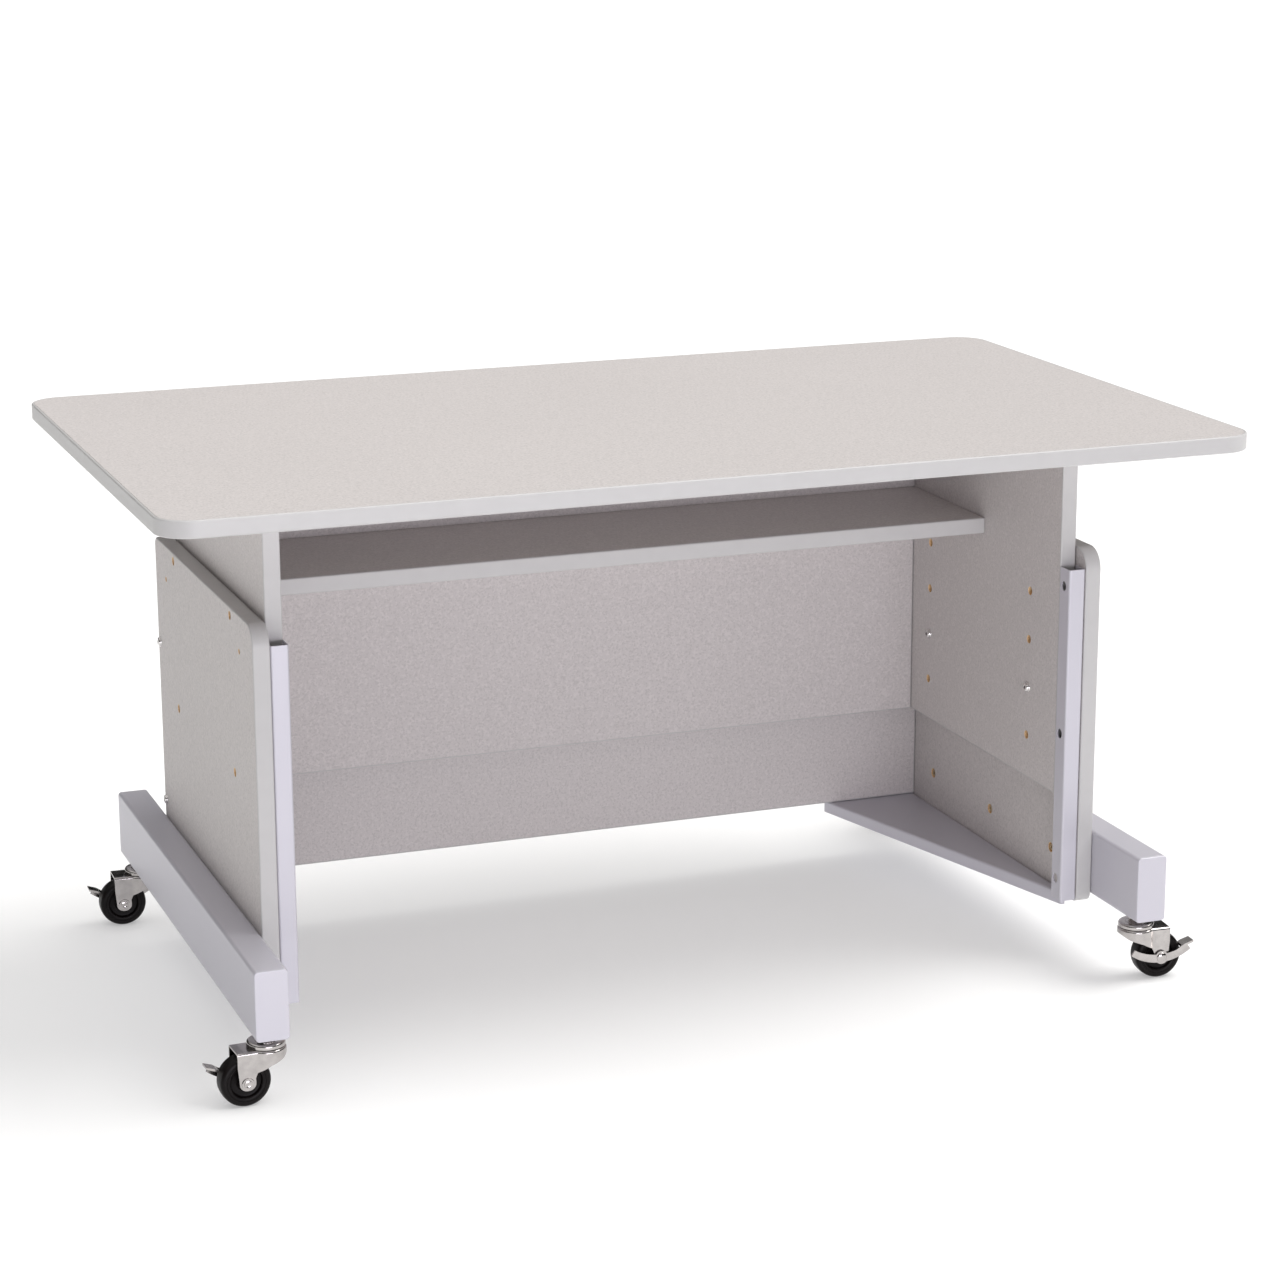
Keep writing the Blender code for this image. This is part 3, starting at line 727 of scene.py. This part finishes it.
def make_fasteners(side_name, bright, zinc):
    side = SIDES[side_name]
    for end in ENDS:
        label = f"{side_name}_{end}"
        node = f"height_bolt_{label}"
        make_bolt(f"height_button_{label}", node, "upper", bright, HEIGHT_BOLT, -side)
    for index in (1, 2, 3):
        label = f"{side_name}_{index}"
        node = f"foot_bolt_{label}"
        make_bolt(f"foot_screw_{label}", node, "base", zinc, FOOT_SCREW, -side)
        node = f"channel_screw_{label}"
        make_bolt(f"rail_screw_{label}", node, "base", zinc, RAIL_SCREW, -side)
    for place in ("lower", "upper"):
        label = f"{side_name}_{place}"
        node = f"back_bolt_{label}"
        make_bolt(f"back_connector_{label}", node, "base", bright, BACK_BOLT, side)


# Casters


def caster_places():
    """Each caster's label, the matrix from its own frame to the desk's, and its axle's place."""
    joints = {joint["name"]: joint for joint in frame["joints"]}
    places = []
    for side_name in SIDES:
        for end in ENDS:
            label = f"{side_name}_{end}"
            swivel = joints[f"caster_swivel_{label}"]["pos_m"]
            spin = joints[f"wheel_spin_{label}"]
            turn = math.atan2(-spin["axis"][0], spin["axis"][1])
            trail = math.hypot(spin["pos_m"][0] - swivel[0], spin["pos_m"][1] - swivel[1])
            matrix = Matrix.Translation((swivel[0], swivel[1], 0.0)) @ Matrix.Rotation(turn, 4, "Z")
            places.append((label, matrix, Vector((trail, 0.0, spin["pos_m"][2]))))
    return places


def make_stem(label, matrix, chrome):
    """The ball-race cup, a nut, a washer and the stem, above the fork, and the rivet end under its top."""
    low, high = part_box(f"caster_stem_{label}")
    fork_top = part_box(f"caster_fork_{label}")[1].z
    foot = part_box(f"foot_tube_{label.split('_')[0]}")[0].z
    base = fork_top + GAP
    under = fork_top - FORK_SHEET - GAP
    rivet = [(0.0, low.z), (0.0062, low.z), (RIVET_RADIUS, low.z + 0.0012), (RIVET_RADIUS, under)]
    cup = [(STEM_RADIUS, under), (STEM_RADIUS, base), (0.0196, base)]
    cup += [(CUP_RADIUS, base + 0.0007), (CUP_RADIUS, base + CUP_ROUND)]
    for turn in quarter_turns(6)[1:]:
        across = CUP_RADIUS - CUP_ROUND + CUP_ROUND * math.cos(turn)
        cup.append((across, base + CUP_ROUND + CUP_ROUND * math.sin(turn)))
    groove = [(0.0130, base + CUP_HEIGHT), (0.0118, base + 0.0054), (0.0105, base + CUP_HEIGHT)]
    nut = [(NUT_RADIUS, base + 0.0062, "hex"), (NUT_RADIUS, foot - 0.0024, "hex"), (0.0086, foot - 0.0016)]
    washer = [(WASHER_RADIUS, foot - 0.0014), (WASHER_RADIUS, foot - GAP)]
    shaft = [(STEM_RADIUS, foot - GAP), (STEM_RADIUS, high.z - 0.0010), (0.0042, high.z), (0.0, high.z)]
    mesh = lathe("z", rivet + cup + groove + nut + washer + shaft, segments=60)
    mesh.transform(matrix)
    made = link(f"swivel_cup_{label}", mesh, [chrome])
    finish_piece(made, "base", f"caster_stem_{label}")


def fork_plan(inset):
    """The fork from above: a round head about the stem, and straight sides towards the wheel."""
    half = FORK_HALF_WIDTH - inset
    head = FORK_HEAD_RADIUS - inset
    join = math.asin(half / head)
    points = [(FORK_REAR_X, half)]
    steps = 28
    for step in range(steps + 1):
        turn = join + (2 * math.pi - 2 * join) * step / steps
        points.append((head * math.cos(turn), head * math.sin(turn)))
    return points + [(FORK_REAR_X, -half)]


def pressed_block(plan_of, top, bend, depth):
    """A block with a rounded top edge, over a plan that takes an inset, from depth up to top."""
    mesh = bmesh.new()
    stations = [(0.0, depth)]
    for turn in quarter_turns(BEND_STEPS):
        stations.append((bend * (1 - math.cos(turn)), top - bend * (1 - math.sin(turn))))
    closed_skin(mesh, [ring(mesh, "z", plan_of(inset), level) for inset, level in stations])
    return mesh


def fork_side(axle):
    """The fork from the side: a skirt that climbs to the front and a leg that rounds under the axle."""
    past = 0.001
    roof = FORK_TOP_Z + past
    rear = FORK_REAR_X + past
    front = -FORK_HEAD_RADIUS - 2 * past
    skirt = [(rear, FORK_TOP_Z - 0.006), (rear, roof), (front, roof), (front, FORK_TOP_Z - 0.005)]
    skirt += [(-0.0140, 0.0508), (0.0007, 0.0458), (0.0140, 0.0385)]
    leg = [(0.0165, 0.0330), (axle.x - LEG_RADIUS, axle.z + 0.002)]
    steps = 16
    for step in range(steps + 1):
        turn = math.pi + math.pi * step / steps
        drop = LEG_RADIUS * 0.85 * math.sin(turn)
        leg.append((axle.x + LEG_RADIUS * math.cos(turn), axle.z - 0.0001 + drop))
    return skirt + leg


def hollow_plan(inset):
    """The fork's inside from above, run out past its open rear."""
    plan = fork_plan(inset + FORK_SHEET)
    rear = FORK_REAR_X + HOLLOW_PAST
    return [(rear, plan[0][1])] + plan[1:-1] + [(rear, plan[-1][1])]


def make_fork(label, matrix, axle, chrome):
    """A pressed sheet fork: a block with rounded edges, hollowed, trimmed from the side and drilled."""
    block = pressed_block(fork_plan, FORK_TOP_Z, FORK_BEND, 0.0)
    made = link(f"pressed_fork_{label}", block, [chrome])
    hollow = pressed_block(hollow_plan, FORK_TOP_Z - FORK_SHEET, FORK_BEND - FORK_SHEET, -CUT_PAST)
    combine(made, link("cutter", hollow, [chrome]))
    width = 2 * FORK_HEAD_RADIUS
    combine(made, link("cutter", prism("y", fork_side(axle), -width, width), [chrome]), "INTERSECT")
    stem = prism("z", circle(0.0, 0.0, STEM_HOLE_RADIUS), FORK_TOP_Z - CUT_PAST, FORK_TOP_Z + CUT_PAST)
    combine(made, link("cutter", stem, [chrome]))
    hole = prism("y", circle(axle.x, axle.z, AXLE_HOLE_RADIUS), -width, width)
    combine(made, link("cutter", hole, [chrome]))
    ease(made, FORK_EASE, angle=50)
    made.data.transform(matrix)
    finish_piece(made, f"swivel_{label}", f"caster_fork_{label}")


def make_axle(label, matrix, axle, chrome):
    """A riveted axle: domed head at the lever's side, and a peened washer at the other."""
    outer = FORK_HALF_WIDTH + FORK_SHEET + AXLE_HEAD_GAP
    inner = FORK_HALF_WIDTH + GAP
    tip = -outer - AXLE_HEAD_HEIGHT
    head = [(0.0, tip)] + dome(AXLE_HEAD_RADIUS, -outer, tip)[::-1]
    shaft = [(AXLE_RADIUS, -outer), (AXLE_RADIUS, inner)]
    washer = [(0.0066, inner), (0.0068, inner + 0.0004), (0.0064, inner + 0.0007), (0.0046, inner + 0.0007)]
    rivet = [(0.0044, inner + 0.0015), (0.0032, inner + 0.0018), (0.0022, inner + 0.0013)]
    rivet.append((0.0, inner + 0.0013))
    mesh = lathe("y", head + shaft + washer + rivet, axle)
    mesh.transform(matrix)
    made = link(f"axle_rivet_{label}", mesh, [chrome])
    finish_piece(made, f"swivel_{label}", f"caster_axle_{label}")


def make_wheel(label, matrix, axle, look):
    """A moulded wheel: crowned tread, round shoulders, a stepped sidewall and a sunk web."""
    radius = axle.z
    rim = WHEEL_HALF_WIDTH
    hub = [(AXLE_HOLE_RADIUS, 0.0133), (0.0080, 0.0133), (0.0088, 0.0126)]
    hub += [(0.0094, 0.0075), (0.0104, 0.0066)]
    web = [(0.0150, 0.0066), (0.0163, 0.0072), (0.0168, rim - 0.0012), (0.0178, rim - 0.0003)]
    wall = [(0.0192, rim), (0.0206, rim), (0.0209, rim - 0.0004), (0.0212, rim)]
    crown = radius - WHEEL_CROWN - WHEEL_SHOULDER
    tread = []
    for turn in quarter_turns(7):
        level = rim - WHEEL_SHOULDER * (1 - math.cos(turn))
        tread.append((crown + WHEEL_SHOULDER * math.sin(turn), level))
    tread.append((radius - 0.0001, 0.0032))
    half = hub + web + wall + tread
    stations = half + [(radius, 0.0)] + [(wide, -height) for wide, height in half[::-1]]
    mesh = lathe("y", stations, axle, 96)
    mesh.transform(matrix)
    made = link(f"moulded_wheel_{label}", mesh, [look], 40)
    finish_piece(made, f"wheel_{label}", f"caster_wheel_{label}")


def lever_blade():
    """The lever's side plate about the axle: a low arc whose ends rise and narrow."""
    first, last = (math.radians(end) for end in LEVER_ENDS)
    middle = (-0.0030, LEVER_ARC_RADIUS - 0.0010)
    steps = 20
    points = []
    for half, turns in ((0.5, range(steps + 1)), (-0.5, range(steps, -1, -1))):
        for step in turns:
            part = step / steps
            angle = first + (last - first) * part
            width = LEVER_HEIGHT * (0.80 + 0.20 * math.sin(math.pi * part))
            radius = LEVER_ARC_RADIUS + half * width
            points.append((middle[0] + radius * math.sin(angle), middle[1] - radius * math.cos(angle)))
    return points


def make_lever(label, matrix, axle, chrome):
    """The brake lever: a side plate, a boss round the axle, and a tongue with a foot pad at the wheel."""
    outer = -FORK_HALF_WIDTH - FORK_SHEET - LEVER_GAP
    inner = -FORK_HALF_WIDTH - LEVER_GAP
    reach = -FORK_HALF_WIDTH + PAD_REACH
    made = link(f"brake_pedal_{label}", prism("y", lever_blade(), outer, inner), [chrome])
    boss = lathe("y", [(0.0, inner), (LEVER_BOSS_RADIUS, inner), (LEVER_BOSS_RADIUS, outer), (0.0, outer)])
    combine(made, link("cutter", boss, [chrome]), "UNION")
    toe = [(0.0285, 0.0140), (0.0385, 0.0172), (0.0385, 0.0150), (0.0290, 0.0115)]
    tongue = [(0.0200, 0.0050), (0.0180, 0.0075)] + toe
    combine(made, link("cutter", prism("y", tongue, outer, inner), [chrome]), "UNION")
    pad = [(0.0252, 0.0088), (0.0250, 0.0120)] + toe
    combine(made, link("cutter", prism("y", pad, outer, reach), [chrome]), "UNION")
    hole = prism("y", circle(0.0, 0.0, AXLE_HOLE_RADIUS), outer - CUT_PAST, inner + CUT_PAST)
    combine(made, link("cutter", hole, [chrome]))
    ease(made, LEVER_EASE, angle=50)
    made.data.transform(matrix @ Matrix.Translation(axle))
    finish_piece(made, f"brake_{label}", f"brake_lever_{label}")


# Studio


def area_light(name, place, target, size, power, colour):
    data = bpy.data.lights.new(name, "AREA")
    data.shape = "RECTANGLE"
    data.size, data.size_y = size
    data.energy = power
    data.color = colour
    made = bpy.data.objects.new(name, data)
    made.location = place
    made.rotation_euler = (Vector(target) - Vector(place)).to_track_quat("-Z", "Y").to_euler()
    bpy.context.scene.collection.objects.link(made)


def soft_sun(name, direction, strength, spread, colour):
    """An even light over the whole floor; spread, in degrees, is how wide it looks and so how soft."""
    data = bpy.data.lights.new(name, "SUN")
    data.energy = strength
    data.angle = math.radians(spread)
    data.color = colour
    made = bpy.data.objects.new(name, data)
    made.rotation_euler = Vector(direction).to_track_quat("Z", "Y").to_euler()
    bpy.context.scene.collection.objects.link(made)


def make_floor():
    """A pale floor that glows a little, so that its shadows stay pale."""
    mesh = bmesh.new()
    bmesh.ops.create_grid(mesh, x_segments=2, y_segments=2, size=60.0)
    graph = Graph("studio_floor")
    tone = graph.ramp(graph.noise(2.0), [(0.3, 0.625), (0.7, 0.635)])
    graph.set(Base_Color=tone, Roughness=0.9, Specular_IOR_Level=0.1)
    graph.set(Emission_Color=(1.0, 1.0, 1.0, 1.0), Emission_Strength=0.37)
    link("studio_floor", mesh, [graph.material])


def make_sky():
    world = bpy.data.worlds.new("studio")
    world.use_nodes = True
    bpy.context.scene.world = world
    nodes = world.node_tree.nodes
    links = world.node_tree.links
    direction = nodes.new("ShaderNodeTexCoord").outputs["Generated"]
    split = nodes.new("ShaderNodeSeparateXYZ")
    links.new(direction, split.inputs[0])
    ramp = nodes.new("ShaderNodeValToRGB")
    links.new(split.outputs["Z"], ramp.inputs["Fac"])
    for element, position, colour in zip(ramp.color_ramp.elements, SKY_FADE, (SKY_LOW, SKY_HIGH)):
        element.position = position
        element.color = (*colour, 1.0)
    links.new(ramp.outputs["Color"], nodes["Background"].inputs["Color"])
    nodes["Background"].inputs["Strength"].default_value = 1.0


def make_studio():
    make_floor()
    make_sky()
    soft_sun("overhead", direction=(0.60, -0.10, 1.0), strength=2.35, spread=40.0, colour=(1.0, 0.995, 0.975))
    area_light(
        "front",
        place=(-0.2, -4.8, 0.52),
        target=(0.0, 0.0, 0.30),
        size=(2.6, 0.75),
        power=74.0,
        colour=(0.985, 0.955, 1.05),
    )
    bpy.context.scene.view_settings.view_transform = "Standard"


def make_camera():
    """A long lens, a little above the desk and to the left of its front."""
    data = bpy.data.cameras.new("camera")
    data.sensor_width = CAMERA_SENSOR
    data.lens = CAMERA_LENS
    data.clip_end = 200.0
    yaw, pitch, roll = (math.radians(angle) for angle in CAMERA_TURNS)
    ahead = math.cos(pitch)
    forward = Vector((math.sin(yaw) * ahead, math.cos(yaw) * ahead, -math.sin(pitch)))
    level = Vector((math.cos(yaw), -math.sin(yaw), 0.0))
    upright = level.cross(forward)
    right = math.cos(roll) * level + math.sin(roll) * upright
    up = math.cos(roll) * upright - math.sin(roll) * level
    rows = Matrix((right, up, -forward)).transposed().to_4x4()
    camera = bpy.data.objects.new("camera", data)
    camera.matrix_world = Matrix.Translation(CAMERA_PLACE) @ rows
    bpy.context.scene.collection.objects.link(camera)
    bpy.context.scene.camera = camera


def main():
    laminate = laminate_look("speckled_laminate", (0.566, 0.533, 0.525))
    banding = banding_look()
    chipboard = chipboard_look()
    steel = painted_steel_look()
    chrome = plated_look("bright_plating", (0.50, 0.475, 0.465), 0.13, 0.24)
    bright = plated_look("polished_plating", (0.78, 0.76, 0.75), 0.18, 0.28)
    zinc = plated_look("yellow_zinc", (0.56, 0.45, 0.30), 0.35, 0.50)
    black = wheel_look()
    looks = [laminate, banding, chipboard]
    make_camera()
    make_studio()
    make_desktop(laminate, banding)
    make_upper_boards(looks)
    make_lower_boards(looks)
    for side_name in SIDES:
        make_channel(side_name, steel)
        make_gusset(side_name, steel)
        make_foot(side_name, steel)
        make_fasteners(side_name, bright, zinc)
    for label, matrix, axle in caster_places():
        make_stem(label, matrix, chrome)
        make_fork(label, matrix, axle, chrome)
        make_axle(label, matrix, axle, chrome)
        make_wheel(label, matrix, axle, black)
        make_lever(label, matrix, axle, chrome)


main()
